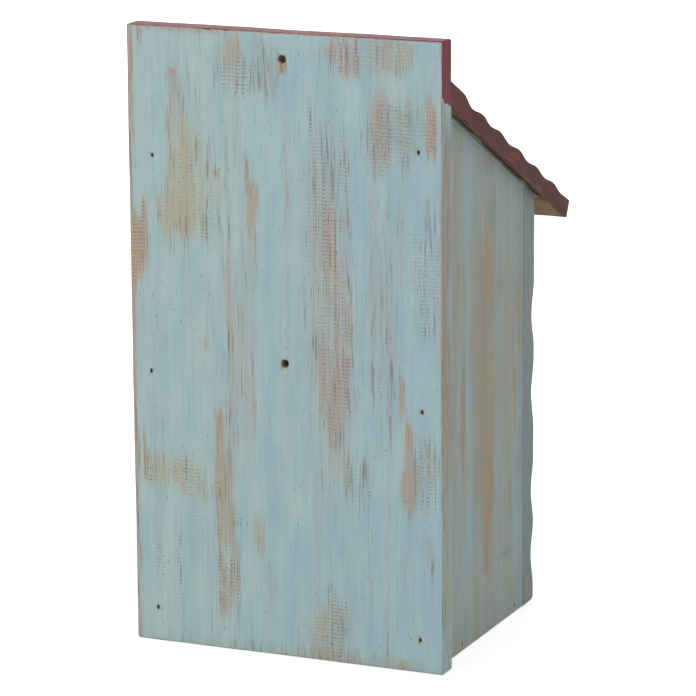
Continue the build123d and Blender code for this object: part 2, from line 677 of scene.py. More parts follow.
@dataclass(frozen=True)
class PaintLayers:
    """The layers of one worn paint, from bare wood to dark marks, as nodes of its material."""

    paint: WornPaint
    graph: Graph
    coords: Socket
    grain: Grain
    wear: WearReading

    def lay(self) -> bpy.types.Material:
        """Adds all layers and gives the finished material."""
        paint, graph = self.paint, self.graph
        level = self.wear_level()
        thin = self.thin_share(level)
        tears, lip_highlights = self.saw_marks()
        wood = self.wood_colour()

        colour = graph.mix(thin, self.coat_colour(), wood)
        # Painted highlights on the lip below each torn pit.
        colour = graph.mix(graph.times(lip_highlights, paint.lip_highlight_share), colour, paint.lip_highlight_colour)
        # Torn pits: torn wood, darkened as painted shade inside the pit.
        torn = graph.mix(paint.tear_wood_and_shade_share, wood, paint.tear_wood_and_shade_colour)
        colour = graph.mix(graph.times(tears, paint.tear_share), colour, torn)
        colour = graph.mix(self.dark_marks(level), colour, paint.hair_colour)

        shader = graph.node("ShaderNodeBsdfPrincipled")
        graph.put(shader.inputs["Base Color"], colour)
        graph.put(shader.inputs["Roughness"], graph.rise(thin, 0.0, 1.0, *paint.roughness))
        shader.inputs["Specular IOR Level"].default_value = paint.gloss
        graph.put(shader.inputs["Normal"], self.surface(thin, tears))
        return graph.finish(shader)

    def wear_level(self) -> Socket:
        """How far the paint is gone: patches, rubbed edges, and streaks that no patch explains.

        Returns:
            The level, from about 0 to 1.
        """
        paint, graph, grain, wear = self.paint, self.graph, self.grain, self.wear
        chance = ((grain.streak, paint.streak_share), (grain.broad, 0.14), (grain.brush, paint.brush_share))
        middle = sum(share for _, share in chance) / 2
        chips = graph.weighed(((grain.blot, 0.35), (grain.chip, 0.65)))
        edge = graph.times(wear.arris, graph.rise(chips, 0.3, 0.8, *paint.edge_wear))
        edge = graph.times(edge, graph.math("SUBTRACT", 1.0, wear.over))
        stroke = graph.weighed(((grain.fibre, paint.fibre_share), (grain.thread, paint.thread_share)))
        spread = paint.fibre_share + paint.thread_share
        stroke = graph.rise(stroke, 0.15 * spread, 0.85 * spread, -spread, spread)
        calm = graph.rise(wear.torn, 0.0, 1.0, 1.0, 0.35)
        patch = graph.times(wear.worn, graph.plus(graph.times(stroke, calm), 1.0))
        level = graph.weighed(((patch, 1.0), (edge, 1.0), (wear.over, -0.4), *chance))
        return graph.plus(level, paint.base_wear - middle)

    def thin_share(self, level: Socket) -> Socket:
        """How much wood shows through the paint, and all of it where a face was never painted.

        Args:
            level: how far the paint is gone.

        Returns:
            The share of wood, from 0 to 1.
        """
        paint, graph, grain = self.paint, self.graph, self.grain
        lines = (
            (grain.fibre, paint.line_share * paint.fibre_share),
            (grain.thread, paint.line_share * paint.thread_share),
            (grain.fine, 0.16),
        )
        middle = sum(share for _, share in lines) / 2
        ragged = graph.weighed(((level, 1.0), *lines))
        veil = graph.rise(ragged, 0.05 + middle, 0.95 + middle, 0.0, 0.88)
        return graph.math("MAXIMUM", veil, graph.rise(self.wear.worn, 1.15, 1.35))

    def coat_colour(self) -> Socket:
        """The paint itself: tints in broad clouds, brush lines, and the second coat."""
        paint, graph, grain = self.paint, self.graph, self.grain
        across = graph.axes(self.coords)[0]
        cloud = graph.weighed(((grain.broad, 0.45), (grain.blot, 0.55), (across, 3.0)))
        tint = graph.mix(graph.rise(cloud, 0.1, 0.9), paint.coat, paint.coat_shift)
        tint = graph.mix(graph.rise(grain.brush, 0.4, 1.0, 0.0, 0.7), tint, paint.brush_tint)
        strokes = tuple((noise, 0.08) for noise in (grain.streak, grain.brush, grain.blot))
        lines = ((grain.thread, 0.24 * paint.thread_share), *strokes)
        value = graph.plus(graph.weighed(lines), 0.895 - 0.12 * paint.thread_share)
        dim = tuple(0.74 * part for part in paint.over_coat)
        second = graph.mix(graph.rise(grain.thread, 0.2, 0.8), paint.over_coat, dim)
        both = graph.mix(graph.rise(self.wear.over, 0.35, 0.65), tint, second)
        return graph.shade(both, value)

    def wood_colour(self) -> Socket:
        """Bare sawn pine, in the tone that the wear map asks for, with some tan fibres."""
        graph, grain = self.graph, self.grain
        fibres = graph.rise(grain.fibre, 0.5, 1.0, 0.0, 0.35)
        wood = graph.mix(fibres, self.wear.wood, self.paint.woods[Tone.TAN.value])
        lines = ((grain.fibre, 0.08), (grain.thread, 0.12), (grain.fine, 0.12))
        return graph.shade(wood, graph.plus(graph.weighed(lines), 0.84))

    def saw_marks(self) -> tuple[Socket, Socket]:
        """Dots of torn wood in the saw's rows, darkened as painted shade inside the pits, and painted
        highlights on the lip just below each pit.

        Returns:
            The shares of torn pits and of lip highlights, from 0 to 1.
        """
        graph, grain = self.graph, self.grain
        dots = graph.times(graph.rise(grain.crumb, 0.15, 0.6), graph.rise(grain.thread, 0.3, 0.75))
        between = graph.rise(grain.thread, 0.7, 0.2, 0.3, 1.0)
        # Spots away from the threads that get a painted highlight.
        highlight_spots = graph.times(graph.rise(grain.fine, 0.2, 0.7), between)
        tears = graph.times(self.saw_rows(0.0), dots)
        return tears, graph.times(self.saw_rows(self.paint.lip_highlight_drop), highlight_spots)

    def saw_rows(self, drop: float) -> Socket:
        """Rows across the grain at the pitch of the saw, where the wear map says that it is torn.

        Args:
            drop: how far down the rows are moved.

        Returns:
            1 in a row and 0 outside.
        """
        paint, graph, grain = self.paint, self.graph, self.grain
        across, deep, up = graph.axes(self.coords)
        turns = graph.times(graph.plus(up, drop), math.tau / paint.saw_pitch)
        drift = graph.weighed(((grain.broad, 4.0), (grain.thread, 2.2), (grain.crumb, 1.6)))
        row = graph.rise(graph.math("SINE", graph.plus(turns, drift)), -0.1, 0.8)
        turns = graph.times(graph.plus(across, deep), math.tau / (paint.grain_scale * paint.stitch_pitch))
        drift = graph.weighed(((grain.broad, 6.0), (grain.column, 2.5)))
        stitch = graph.rise(graph.math("SINE", graph.plus(turns, drift)), -0.7, 0.5, 0.25, 1.0)
        column = graph.rise(graph.weighed(((grain.column, 1.0), (self.wear.torn, 1.2))), 0.93, 1.25)
        return graph.times(graph.times(row, stitch), column)

    def dark_marks(self, level: Socket) -> Socket:
        """Dark hairs, most of all where the board is worn or torn, and specks of dirt.

        Args:
            level: how far the paint is gone.

        Returns:
            The share of dark marks, from 0 to 1.
        """
        graph, most = self.graph, self.paint.hair_share
        hairs = graph.rise(graph.noise(self.coords, (1300.0, 1300.0, 50.0), 2.0), 0.56, 0.70)
        rough = graph.weighed(((level, 1.0), (self.wear.torn, 0.3)))
        hairs = graph.times(hairs, graph.rise(rough, 0.0, 0.5, 0.1 * most, most))
        specks = graph.noise(self.coords, (900.0, 900.0, 420.0), 1.0)
        return graph.math("MAXIMUM", hairs, graph.rise(specks, 0.70, 0.80, 0.0, 0.55))

    def surface(self, thin: Socket, tears: Socket) -> Socket:
        """The bump of paint, fibres and tears."""
        paint, graph, grain = self.paint, self.graph, self.grain
        film = graph.times(graph.math("SUBTRACT", 1.0, thin), 0.4)
        fibres = ((grain.fibre, 0.22), (grain.thread, 0.16), (grain.fine, 0.10))
        bump = graph.node("ShaderNodeBump")
        bump.inputs["Strength"].default_value = paint.bump_strength
        bump.inputs["Distance"].default_value = paint.bump_depth
        graph.put(bump.inputs["Height"], graph.plus(film, graph.weighed((*fibres, (tears, -0.8)))))
        return bump.outputs[0]


@dataclass(frozen=True)
class NailSteel:
    """Dark oxidised steel of small nail heads."""

    name: str = "nail_steel"
    steel: Colour = linear(46, 43, 41)
    rust: Colour = linear(70, 50, 38)

    def make(self) -> bpy.types.Material:
        """Builds the material of the nail heads."""
        graph = Graph(bpy.data.materials.new(self.name))
        place = graph.node("ShaderNodeTexCoord").outputs["Object"]
        cloud = graph.noise(place, (900.0, 900.0, 900.0), 3.0)
        shader = graph.node("ShaderNodeBsdfPrincipled")
        graph.put(shader.inputs["Base Color"], graph.mix(graph.rise(cloud, 0.4, 0.7), self.steel, self.rust))
        graph.put(shader.inputs["Roughness"], graph.rise(cloud, 0.2, 0.8, 0.45, 0.8))
        shader.inputs["Metallic"].default_value = 0.6
        return graph.finish(shader)


FACING = (0.35, 0.7)
ARRIS = (0.86, 0.97)
OVERLAP_SHARE = 0.25
BEST_KEPT = -0.5
BARE = 1.4


@dataclass
class WearMap:
    """Paints on a board's vertices where its paint is worn and torn, and which wood shows there, darkened as
    painted shade where asked.
    """

    faces: tuple[Vector, ...]
    patches: dict[Side, Sequence[WornPatch]] = field(default_factory=dict)
    bare: Callable[[np.ndarray, np.ndarray], np.ndarray] | None = None
    over: Callable[[np.ndarray, np.ndarray], np.ndarray] | None = None
    # Painted shade: how far bare wood is darkened toward the grey tone, for each point.
    painted_shade: Callable[[np.ndarray], np.ndarray] | None = None

    def paint(self, piece: bpy.types.Object, woods: Sequence[Colour], seed: int) -> None:
        """Writes the attributes wear and wood to a finished mesh.

        Args:
            piece: the board, with its modifiers applied.
            woods: the bare woods of its finish, in the order of the tones.
            seed: start of the draws that fray the patches.
        """
        mesh = piece.data
        count = len(mesh.vertices)
        spots = np.empty(count * 3)
        normals = np.empty(count * 3)
        mesh.vertices.foreach_get("co", spots)
        mesh.vertices.foreach_get("normal", normals)
        spots, normals = spots.reshape(-1, 3), normals.reshape(-1, 3)
        worn, torn = np.zeros(count), np.zeros(count)
        sawn = np.array(woods[Tone.TAN.value])
        weight = np.full(count, 0.001)
        wood = np.outer(weight, sawn)
        for side, patches in self.patches.items():
            facing = smooth_step(*FACING, normals @ np.array(side.value))
            across = spots[:, 1] if side in (Side.LEFT, Side.RIGHT) else spots[:, 0]
            for index, patch in enumerate(patches):
                share = patch.strength(across, spots[:, 2], seed + 10 * index) * facing
                here = patch.depth * share
                kept = np.minimum(here, 0.0)
                here = np.maximum(here, 0.0)
                shared = np.minimum(np.maximum(worn, 0.0), here)
                worn = np.maximum(worn, here) + OVERLAP_SHARE * shared + kept
                weight += here
                wood += np.outer(here, woods[patch.tone.value])
                torn = np.maximum(torn, share * patch.torn)
        wood /= weight[:, None]
        if self.bare is not None:
            raw = self.bare(spots, normals)
            worn = np.maximum(worn, BARE * raw)
            # Bare wood darkened toward the grey tone as painted shade.
            painted_shade = np.zeros(count) if self.painted_shade is None else self.painted_shade(spots)
            plain = sawn + np.outer(painted_shade, np.array(woods[Tone.GREY.value]) - sawn)
            wood += raw[:, None] * (plain - wood)
        over = np.zeros(count) if self.over is None else self.over(spots, normals)
        flat = np.max([normals @ np.array(face) for face in self.faces], axis=0)
        arris = 1 - smooth_step(*ARRIS, flat)
        maps = {
            "wear": np.stack([np.clip(worn, BEST_KEPT, BARE), torn, over, arris], axis=1),
            "wood": np.column_stack([wood, np.ones(count)]),
        }
        for name, values in maps.items():
            layer = mesh.attributes.new(name, "FLOAT_COLOR", "POINT")
            layer.data.foreach_set("color", values.astype(np.float32).ravel())


SQUARE_FACES = tuple(side.way for side in Side)
STREAK_HALF_WIDTHS = (1.4, 5.5)
STREAK_HALF_HEIGHTS = (10.0, 42.0)
STREAK_DEPTHS = (0.20, 0.60)
STREAK_TONES = (Tone.GREY, Tone.STRAW, Tone.STRAW, Tone.TAN, Tone.TAN, Tone.TAN, Tone.ORANGE)
STREAK_TEARS = (0.0, 0.0, 0.3)


def chance_patches(seed: int, count: int, across: Pair, up: Pair) -> tuple[WornPatch, ...]:
    """Worn streaks scattered over a face that the photograph doesn't show.

    Args:
        seed: start of the draws.
        count: how many streaks.
        across: limits across the face, in millimetres.
        up: limits up the face, in millimetres.

    Returns:
        The patches.
    """
    draw = random.Random(seed)
    ranges = (across, up, STREAK_HALF_WIDTHS, STREAK_HALF_HEIGHTS, STREAK_DEPTHS)
    made = []
    for _ in range(count):
        measures = [draw.uniform(*limits) for limits in ranges]
        made.append(WornPatch(*measures, draw.choice(STREAK_TONES), draw.choice(STREAK_TEARS)))
    return tuple(made)


BACK_WEAR = (
    WornPatch(-23, 178, 13, 84, 0.34, Tone.PINK, 0.50),
    WornPatch(-50, 175, 10, 60, 0.26, Tone.PINK, 0.25),
    WornPatch(50, 230, 15, 36, 0.32, Tone.STRAW, 0.40),
    WornPatch(23, 158, 9, 54, 0.26, Tone.PINK, 0.15),
    WornPatch(-44, 291, 24, 9, 0.40, Tone.PINK, 0.60),
    WornPatch(-36, 90, 10, 16, 0.26, Tone.GREY, 0.60),
    WornPatch(-70, 95, 9, 20, 0.26, Tone.GREY, 0.65),
    WornPatch(-21, 17, 13, 19, 0.44, Tone.TAN, 0.85),
    WornPatch(-30, 3, 34, 4, 0.34, Tone.TAN, 0.30),
    WornPatch(0, 2, 82, 4, 0.26, Tone.STRAW),
    WornPatch(27, 290, 6.5, 9, 0.56, Tone.TAN, 0.3),
    WornPatch(24, 279, 11, 9, 0.40, Tone.GREY, 0.95),
    WornPatch(8.0, 282, 8, 14, 0.60, Tone.GREY),
    WornPatch(-0.4, 285.5, 2.0, 5.5, 1.50, Tone.ORANGE),
    WornPatch(-25, 293.5, 5.5, 5, 0.40, Tone.PINK, 0.6),
    WornPatch(-38, 289.5, 8.5, 9, 0.50, Tone.PINK, 0.3),
    WornPatch(-59, 292, 6.5, 7.5, 0.50, Tone.STRAW, 0.6),
    WornPatch(-48, 297.5, 24, 2.6, 0.40, Tone.PINK, 0.6),
    WornPatch(-49, 258, 7.5, 16, 0.62, Tone.PINK, 1.0),
    WornPatch(-60, 257, 8.5, 16, 0.56, Tone.GREY, 1.0),
    WornPatch(-46, 261, 2.2, 13, 0.45, Tone.TAN, 0.6),
    WornPatch(-52, 243, 1.4, 9, 0.50, Tone.SALMON, 0.4),
    WornPatch(-55, 250, 14, 14, 0.42, Tone.GREY, 0.85),
    WornPatch(-74.5, 260, 2.7, 13, 0.80, Tone.SALMON, 0.8),
    WornPatch(-70.5, 262, 2.2, 8, 0.45, Tone.GREY, 0.9),
    WornPatch(-19, 238, 6.5, 18, 0.44, Tone.GREY, 0.85),
    WornPatch(-31, 237, 3, 14, 0.40, Tone.GREY, 0.85),
    WornPatch(-23.5, 213, 9.5, 10, 0.50, Tone.PINK, 0.9),
    WornPatch(-23.5, 195, 6.8, 13, 0.45, Tone.PINK, 0.7),
    WornPatch(-21.5, 197, 3.6, 9, 0.50, Tone.TAN, 0.5),
    WornPatch(-25, 177, 5.5, 13, 0.44, Tone.PINK, 0.5),
    WornPatch(-23.5, 137, 9, 27, 0.44, Tone.PINK, 0.45),
    WornPatch(-20, 138, 4.2, 18, 0.55, Tone.PINK, 0.3),
    WornPatch(-30, 94, 4, 11, 0.36, Tone.TAN, 0.3),
    WornPatch(16, 219, 3.4, 17, 0.76, Tone.TAN, 0.2),
    WornPatch(19.5, 238, 1.2, 9, 0.45, Tone.TAN),
    WornPatch(14.5, 195, 1.8, 11, 0.42, Tone.PINK),
    WornPatch(-3, 221, 1.3, 9, 0.40, Tone.PINK),
    WornPatch(51, 228, 8, 28, 0.74, Tone.STRAW, 0.4),
    WornPatch(56, 213, 13.5, 11, 0.82, Tone.STRAW, 0.5),
    WornPatch(54, 265, 4, 15, 0.34, Tone.PINK, 0.3),
    WornPatch(56, 277, 1.6, 2.4, 0.70, Tone.PINK),
    WornPatch(76, 196, 6.2, 20, 0.95, Tone.ORANGE, 0.9),
    WornPatch(79, 165, 1.4, 18, 0.50, Tone.ORANGE),
    WornPatch(40, 207.5, 4.2, 8, 0.30, Tone.GREY, 0.9),
    WornPatch(34.3, 231.6, 1.3, 2.2, 1.40, Tone.TAN),
    WornPatch(29, 180, 1.3, 55, 0.40, Tone.PINK),
    WornPatch(28, 112, 4.2, 14, 0.34, Tone.TAN, 0.45),
    WornPatch(23, 165, 1.4, 8, 0.30, Tone.TAN),
    WornPatch(18, 125, 2.2, 31, 0.34, Tone.PINK),
    WornPatch(40.5, 150, 2.6, 2.2, 0.60, Tone.STRAW),
    WornPatch(34.5, 110, 2.6, 11, 0.60, Tone.ORANGE),
    WornPatch(33.0, 84, 5.8, 21, 0.76, Tone.TAN, 0.4),
    WornPatch(31, 61, 5.6, 15, 0.66, Tone.TAN, 0.6),
    WornPatch(30.5, 33, 6.4, 20, 0.60, Tone.TAN, 1.0),
    WornPatch(33, 23, 3, 5, 0.66, Tone.PINK, 0.5),
    WornPatch(68, 85, 11, 9, 0.62, Tone.STRAW, 0.6),
    WornPatch(50, 83, 9, 11, 0.55, Tone.STRAW, 0.7),
    WornPatch(74, 98, 1.2, 10, 0.45, Tone.ORANGE),
    WornPatch(47.5, 57, 2.8, 13, 0.24, Tone.TAN, 0.6),
    WornPatch(14, 59, 3.2, 11, 0.50, Tone.TAN, 0.3),
    WornPatch(8, 35, 3, 15, 0.28, Tone.STRAW),
    WornPatch(56, 41, 2.4, 21, 0.10, Tone.GREY, 0.7),
    WornPatch(67, 42, 3.2, 17, 0.10, Tone.GREY, 0.6),
    WornPatch(66, 9, 1.2, 1.0, 0.30, Tone.GREY, 1.0),
    WornPatch(-59.5, 132, 1.7, 10, 0.55, Tone.ORANGE),
    WornPatch(-63.5, 111, 2.4, 9, 0.60, Tone.ORANGE),
    WornPatch(-64.5, 91, 4.8, 14, 0.92, Tone.TAN, 0.4),
    WornPatch(-73.5, 104, 3.6, 14, 0.42, Tone.TAN, 0.6),
    WornPatch(-48, 182, 4.2, 22, 0.22, Tone.PINK),
    WornPatch(-72, 190, 8, 29, 0.30, Tone.GREY, 0.85),
    WornPatch(-73.5, 58, 2.6, 8, 0.30, Tone.PINK),
    WornPatch(-40, 92, 1.9, 12, 0.34, Tone.PINK),
    WornPatch(-19, 18, 3.2, 12, 0.58, Tone.STRAW, 0.3),
    WornPatch(-28.5, 18.5, 4.6, 7, 0.36, Tone.GREY, 0.9),
    WornPatch(-21, 3, 12, 3.4, 0.60, Tone.PINK, 0.4),
    WornPatch(-59, 2.5, 5.5, 3, 0.50, Tone.TAN),
    WornPatch(63, 148, 3.2, 6, 0.30, Tone.GREY),
    WornPatch(79.2, 150, 1.9, 260, 0.75, Tone.PINK),
    WornPatch(79.0, 275, 2.6, 48, 1.00, Tone.SALMON),
    WornPatch(72.5, 296, 1.6, 6, 0.45, Tone.PINK, 0.3),
    WornPatch(45, 299, 30, 1.4, 0.45, Tone.PINK),
    WornPatch(-79.4, 150, 0.9, 140, 0.20, Tone.PINK),
)

PANEL_TOP_WEAR = (
    WornPatch(0, 300, 95, 40, 0.46, Tone.PINK),
    WornPatch(-14, 300, 22, 40, 0.50, Tone.SALMON),
)

PANEL_EDGE_WEAR = (
    WornPatch(78, 222, 6, 34, 0.86, Tone.TAN),
    WornPatch(75, 205, 3, 10, 0.60, Tone.PINK),
    WornPatch(80, 165, 4, 40, 0.50, Tone.ORANGE),
    WornPatch(76, 120, 6, 44, 0.70, Tone.TAN),
    WornPatch(78, 45, 6, 48, 0.52, Tone.STRAW),
    WornPatch(77, 256, 7, 12, 0.25, Tone.GREY),
    WornPatch(82.4, 110, 1.3, 120, 0.60, Tone.ORANGE),
)

ROOF_EDGE_WEAR = (
    WornPatch(-8.5, 231, 9, 7, 0.55, Tone.PINK, 1.0),
    WornPatch(-57, 207.5, 3, 4, 0.45, Tone.ORANGE),
    WornPatch(50, 262, 6, 5, 0.20, Tone.ORANGE),
)

LEFT_WEAR = (
    WornPatch(42, 180, 3.6, 40, 0.34, Tone.STRAW),
    WornPatch(43, 128, 3.0, 34, 0.52, Tone.TAN),
    WornPatch(43, 108, 2.0, 14, 0.50, Tone.ORANGE),
    WornPatch(14, 128, 21, 84, 0.30, Tone.TAN),
    WornPatch(10.5, 180, 3.4, 15, 0.34, Tone.ORANGE),
    WornPatch(14, 231, 13, 5, 0.34, Tone.PINK),
    WornPatch(6, 148, 2.6, 10, 0.45, Tone.STRAW),
    WornPatch(8, 92, 2.4, 36, 0.90, Tone.ORANGE),
    WornPatch(12, 52, 2.8, 24, 0.66, Tone.ORANGE),
    WornPatch(10, 72, 8.0, 52, 0.26, Tone.TAN),
    WornPatch(7, 128, 6, 30, 0.40, Tone.STRAW),
    WornPatch(-29, 155, 4, 10, 0.22, Tone.TAN),
    WornPatch(-34, 131.5, 2.6, 4, 0.36, Tone.TAN),
    WornPatch(-25, 112, 1.5, 18, 0.60, Tone.ORANGE),
    WornPatch(-40, 115, 11, 140, 0.40, Tone.GREY),
    WornPatch(-30, 150, 1.7, 22, 0.40, Tone.ORANGE),
    WornPatch(-19, 62, 1.8, 8, 0.34, Tone.TAN),
    WornPatch(4, 206, 5, 7, 0.25, Tone.GREY),
    WornPatch(51, 4, 1.5, 2, 0.50, Tone.STRAW),
    WornPatch(45, 4, 1.5, 2, 0.50, Tone.STRAW),
    WornPatch(2, 33.5, 23, 0.8, 0.35, Tone.GREY),
    WornPatch(51.5, 188, 6, 38, -0.25, Tone.GREY),
    WornPatch(2, 16, 24, 16, -0.20, Tone.GREY),
    WornPatch(20, 230, 40, 14, -0.16, Tone.GREY),
)


@dataclass
class Board:
    """What every board of the box shares: its node, its corners and its finish."""

    node: str
    slot: str
    seed: int
    low: Vector = field(init=False)
    high: Vector = field(init=False)
    piece: bpy.types.Object | None = field(init=False, default=None)

    def __post_init__(self) -> None:
        """Reads the board's corners from the frame."""
        self.low, self.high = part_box(self.node)

    def lay_rows(self, step: float, axes: Sequence[int]) -> None:
        """Divides the board into faces of about a step, along each of the axes in turn."""
        size = self.high - self.low
        for axis in axes:
            divide(self.piece, axis, round(size[axis] / step), size[axis] / 2)

    def dress(self, finish: WornPaint, wear: WearMap) -> None:
        """Paints the board, sets it on the body and lets it stand for its node.

        Args:
            finish: the board's paint.
            wear: where its paint is worn.
        """
        give_material(self.piece, finish.material())
        make_active(self.piece)
        bpy.ops.object.shade_smooth_by_angle(angle=SMOOTH_ANGLE)
        wear.paint(self.piece, finish.woods, self.seed)
        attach(self.piece, "root")
        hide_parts(self.node)
        LOG.info("%s: %d faces", self.piece.name, len(self.piece.data.polygons))


@dataclass
class BackPanel(Board):
    """The tall back board, with its two screw holes and the pits of six nails."""

    arris: float = 1.0 * MM
    step: float = 1.5 * MM
    edge_cuts: int = 6
    uneven: Pair = (0.45 * MM, 28 * MM)  # depth and size of the unevenness
    hole_radius: float = 2.0 * MM
    rim_radii: Pair = (1.7, 0.6)
    rim_depth: float = 1.4 * MM
    rim_tear: float = 0.45 * MM
    gouge_size: Triple = (1.5 * MM, 0.55 * MM, 3.2 * MM)
    gouge_aside: float = -0.8 * MM
    gouge_drop: float = 3.6 * MM
    roof_line: float = 268.6 * MM
    box_half_width: float = 74.0 * MM
    coat_climb: float = 6.0 * MM
    coat_bend: float = 1.6
    coat_sway: float = 0.8 * MM
    coat_fade: float = 0.8 * MM
    coat_rim: Pair = (0.1 * MM, 0.9 * MM)
    rim_chip: float = 0.3 * MM
    rim_band: float = 1.5 * MM
    left_nails: tuple[Point, ...] = ((-68.2, 248.5), (-69.6, 126.4), (-68.4, 16.0))
    right_nails: tuple[Point, ...] = ((67.4, 238.4), (69.9, 133.9), (68.5, 16.7))

    @property
    def hole_heights(self) -> list[float]:
        """Heights of the two screw holes, from the record's mounts."""
        return [mount["pos_m"][2] for mount in frame["record"]["mounts"] if mount["kind"] == "bore"]

    def nails(self) -> list[Vector]:
        """Places of the nails on the back face."""
        return [Vector((x * MM, self.high.y, z * MM)) for x, z in (*self.right_nails, *self.left_nails)]

    def build(self) -> None:
        """Models the panel."""
        self.piece = box_board("back_board", self.low, self.high, self.arris)
        self.lay_rows(self.step, (2, 0))
        divide(self.piece, 1, self.edge_cuts, (self.high.y - self.low.y) / 2)
        roughen(self.piece, *self.uneven)
        for tool in self.hole_cutters():
            cut_away(self.piece, tool)
        cut_away(self.piece, pit_cutter(self.nails(), Side.BACK.way))

    def hole_cutters(self) -> list[bpy.types.Object]:
        """Two drills, the cones that tear their rims, and the gouge under the upper hole."""
        middle = (self.low.y + self.high.y) / 2
        heights = self.hole_heights
        drill = rod(28, self.hole_radius, 2 * (self.high.y - self.low.y))
        tools = copies(drill, [Vector((0, middle, height)) for height in heights], aim(Side.BACK.way))
        tools += [self.torn_rim(height, self.seed + index) for index, height in enumerate(heights)]
        clear_selection()
        bpy.ops.mesh.primitive_uv_sphere_add(segments=16, ring_count=10, radius=1.0)
        gouge = bpy.context.object
        gouge.scale = self.gouge_size
        gouge.location = (self.gouge_aside, self.high.y, max(heights) - self.gouge_drop)
        settle(gouge)
        return [*tools, gouge]

    def torn_rim(self, height: float, seed: int) -> bpy.types.Object:
        """An uneven blunt cone that tears the rim of one screw hole.

        Args:
            height: height of the hole.
            seed: start of the draws that make the cone uneven.

        Returns:
            The cone.
        """
        wide, narrow = (share * self.hole_radius for share in self.rim_radii)
        clear_selection()
        bpy.ops.mesh.primitive_cone_add(vertices=22, radius1=wide, radius2=narrow, depth=self.rim_depth)
        rim = bpy.context.object
        rim.matrix_world = Matrix.Translation((0, self.high.y, height)) @ aim(Side.FRONT.way).to_4x4()
        settle(rim)
        edit(rim)
        bpy.ops.mesh.select_all(action="SELECT")
        bpy.ops.transform.vertex_random(offset=self.rim_tear, seed=seed)
        leave_edit()
        return rim

    def wear(self) -> WearMap:
        """Where the panel is worn, bare inside and coated red above the roof."""

        def over(spots: np.ndarray, normals: np.ndarray) -> np.ndarray:
            """The red coat on the edges above the roof."""
            behind = np.clip((spots[:, 1] - self.low.y) / (self.high.y - self.low.y), 0.0, 1.0)
            sway = self.coat_sway * ripple(spots[:, 1], 4 * MM, self.seed)
            line = self.roof_line + self.coat_climb * behind**self.coat_bend + sway
            above = smooth_step(-self.coat_fade, self.coat_fade, spots[:, 2] - line)
            along = spots[:, 0] + spots[:, 2]
            chips = ripple(along, 5 * MM, self.seed + 1) + ripple(along, 1.7 * MM, self.seed + 2)
            inward = np.minimum(self.high.z - spots[:, 2], self.high.x - np.abs(spots[:, 0]))
            rim = 1 - smooth_step(*self.coat_rim, inward + self.rim_chip * chips)
            rim = rim * smooth_step(-0.1, 0.5, ripple(along, 11 * MM, self.seed + 3))
            outside = (behind < 0.5) | (inward < self.rim_band)
            edges = (1 - smooth_step(0.55, 0.85, normals[:, 1])) * outside
            return above * np.maximum(rim, edges)

        def bare(spots: np.ndarray, normals: np.ndarray) -> np.ndarray:
            """The face inside the box and the walls of the holes, left as sawn."""
            raw = smooth_step(0.5, 0.8, -normals[:, 1]) * (spots[:, 2] < self.roof_line)
            raw = raw * (np.abs(spots[:, 0]) < self.box_half_width)
            for height in self.hole_heights:
                reach = np.hypot(spots[:, 0], spots[:, 2] - height)
                raw = np.maximum(raw, reach < 1.1 * self.hole_radius)
            return raw

        edges = {side: PANEL_EDGE_WEAR for side in (Side.LEFT, Side.RIGHT)}
        return WearMap(SQUARE_FACES, {Side.BACK: BACK_WEAR, Side.UP: PANEL_TOP_WEAR, **edges}, bare, over)


@dataclass
class SideWall(Board):
    """A side wall: an upright board with its top sawn to the roof's slope."""

    out: Side = Side.LEFT
    arris: float = 0.5 * MM
    step: float = 1.8 * MM
    edge_cuts: int = 2
    nail_depths: tuple[float, ...] = (39.3 * MM, 107.6 * MM)
    nail_height: float = 3.7 * MM
    streaks: int = 26
    streaks_across: Pair = (-34, 70)
    streaks_up: Pair = (5, 235)

    @property
    def face(self) -> float:
        """Where the outer face is, across the box."""
        return self.low.x if self.out is Side.LEFT else self.high.x

    def nails(self, back: float) -> list[Vector]:
        """Places of the nails on the outer face, in front of the back of the box."""
        return [Vector((self.face, back - depth, self.nail_height)) for depth in self.nail_depths]

    def build(self, roof: "Roof", back: float) -> None:
        """Models the wall.

        Args:
            roof: the roof that covers it.
            back: where the back of the box is.
        """
        trim = (roof.corner, roof.out)
        self.piece = box_board(f"{self.node}_board", self.low, self.high, self.arris, trim)
        self.lay_rows(self.step, (2, 1))
        divide(self.piece, 0, self.edge_cuts, (self.high.x - self.low.x) / 2)
        cut_away(self.piece, pit_cutter(self.nails(back), self.out.way))

    def wear(self) -> WearMap:
        """Where the wall is worn, and its bare inner face."""

        def bare(spots: np.ndarray, normals: np.ndarray) -> np.ndarray:
            """The face inside the box, left as sawn."""
            return smooth_step(0.6, 0.9, -(normals @ np.array(self.out.value)))

        if self.out is Side.LEFT:
            patches = LEFT_WEAR
        else:
            patches = chance_patches(self.seed, self.streaks, self.streaks_across, self.streaks_up)
        return WearMap(SQUARE_FACES, {self.out: patches}, bare)


